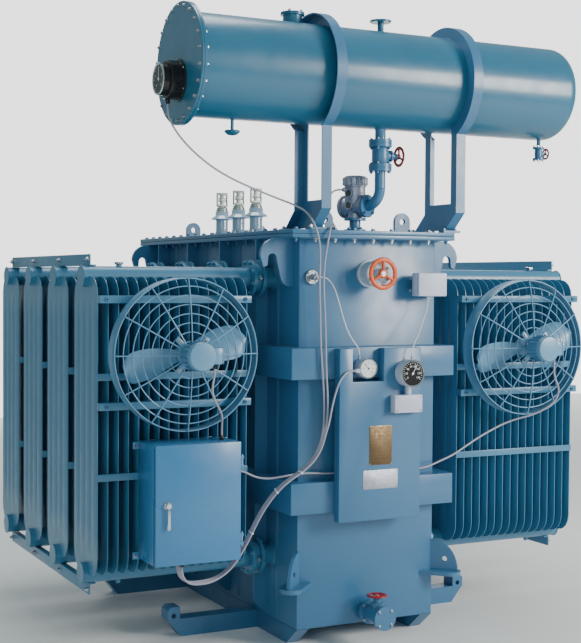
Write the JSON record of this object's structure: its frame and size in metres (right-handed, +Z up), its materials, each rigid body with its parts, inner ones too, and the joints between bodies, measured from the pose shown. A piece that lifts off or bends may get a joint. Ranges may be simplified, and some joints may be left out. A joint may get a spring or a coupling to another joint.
{
  "type": "oil-filled power transformer with radiators, fans and a conservator",
  "caption": "Oil-filled power transformer: ribbed tank, plate radiators with fans, overhead conservator drum, gas relay, bushings, gauges and control cabinet.",
  "frame": {"origin": "middle of the whole outline, on the ground under the skids", "axes": "+X to the right seen from the front with the instruments, +Y from the front to the rear, +Z up"},
  "size_m": [2.5, 2.1185, 2.7715],
  "materials": {
    "bare_aluminium": "cast, satin",
    "black_enamel": "gloss",
    "blue_grey_paint": "gloss",
    "bright_metal": "polished",
    "cable_sheath": "satin",
    "capillary_sheath": "satin",
    "light_grey_paint": "satin",
    "orange_paint": "gloss",
    "porcelain": "glazed",
    "radiator_paint": "gloss",
    "red_paint": "gloss",
    "tinned_copper": "tinned, dull",
    "white_plastic": "satin"
  },
  "bodies": {
    "transformer": {"base_frame": "blue_grey_paint", "cable_gas_relay": "cable_sheath", "cable_left_fan": "cable_sheath", "cable_level_gauge": "cable_sheath", "cable_oil_dial": "cable_sheath", "cable_right_fan": "cable_sheath", "capillary_oil_dial": "capillary_sheath", "capillary_winding_dial": "capillary_sheath", "conservator_cover": "blue_grey_paint", "conservator_shell": "blue_grey_paint", "control_cabinet": "blue_grey_paint", "drain_valve": "blue_grey_paint", "drum_fittings": "blue_grey_paint", "gas_relay": "bare_aluminium", "instrument_panel": "blue_grey_paint", "jacking_lugs": "blue_grey_paint", "junction_box": "white_plastic", "left_bank_rails": "radiator_paint", "left_fan_guard": "blue_grey_paint", "left_fan_motor": "blue_grey_paint", "left_portal": "blue_grey_paint", "left_radiator_1": "radiator_paint", "left_radiator_2": "radiator_paint", "left_radiator_3": "radiator_paint", "left_radiator_4": "radiator_paint", "level_gauge": "black_enamel", "lid_lugs": "blue_grey_paint", "lifting_hooks": "blue_grey_paint", "lv_bushings": "porcelain", "lv_terminals": "tinned_copper", "oil_pipe": "blue_grey_paint", "oil_thermometer": "white_plastic", "radiator_valves": "radiator_paint", "relay_nozzle": "blue_grey_paint", "right_bank_rails": "radiator_paint", "right_fan_guard": "blue_grey_paint", "right_fan_motor": "blue_grey_paint", "right_portal": "blue_grey_paint", "right_radiator_1": "radiator_paint", "right_radiator_2": "radiator_paint", "right_radiator_3": "radiator_paint", "right_radiator_4": "radiator_paint", "sampling_valve": "blue_grey_paint", "tank_bands": "blue_grey_paint", "tank_body": "blue_grey_paint", "tank_lid": "blue_grey_paint", "tap_changer": "light_grey_paint", "thermowell": "bright_metal", "tie_bars": "radiator_paint", "wall_ribs": "blue_grey_paint", "winding_thermometer": "white_plastic"},
    "left_fan_blades": {"left_fan_rotor": "blue_grey_paint"},
    "right_fan_blades": {"right_fan_rotor": "blue_grey_paint"},
    "door": {"cabinet_door": "blue_grey_paint"},
    "lever": {"door_lever": "bright_metal"},
    "tap_handwheel": {"tap_wheel": "orange_paint"},
    "drain_handwheel": {"drain_wheel": "red_paint"},
    "isolating_handwheel": {"isolating_wheel": "red_paint"},
    "sampling_handwheel": {"sampling_wheel": "red_paint"}
  },
  "joints": [
    {"name": "left_fan_spin", "type": "hinge", "parent": "transformer", "child": "left_fan_blades", "pos_m": [-0.873, -0.7958, 1.301], "axis": [0, -1, 0], "continuous": true},
    {"name": "right_fan_spin", "type": "hinge", "parent": "transformer", "child": "right_fan_blades", "pos_m": [0.873, -0.7958, 1.301], "axis": [0, -1, 0], "continuous": true},
    {"name": "cabinet_door_swing", "type": "hinge", "parent": "transformer", "child": "door", "pos_m": [-0.661, -0.8948, 0.444], "axis": [0, 0, 1], "range_deg": [0, 110]},
    {"name": "door_lever_turn", "type": "hinge", "parent": "door", "child": "lever", "pos_m": [-0.999, -0.9118, 0.694], "axis": [0, -1, 0], "range_deg": [0, 90]},
    {"name": "tap_wheel_turn", "type": "hinge", "parent": "transformer", "child": "tap_handwheel", "pos_m": [0, -0.8878, 1.645], "axis": [0, -1, 0], "range_deg": [0, 1440]},
    {"name": "drain_wheel_turn", "type": "hinge", "parent": "transformer", "child": "drain_handwheel", "pos_m": [0, -0.8943, 0.211], "axis": [0, 0, 1], "range_deg": [0, 1440]},
    {"name": "isolating_wheel_turn", "type": "hinge", "parent": "transformer", "child": "isolating_handwheel", "pos_m": [0.142, -0.7958, 2.172], "axis": [1, 0, 0], "range_deg": [0, 1440]},
    {"name": "sampling_wheel_turn", "type": "hinge", "parent": "transformer", "child": "sampling_handwheel", "pos_m": [0.964, -0.7958, 2.2245], "axis": [1, 0, 0], "range_deg": [0, 1440]}
  ]
}
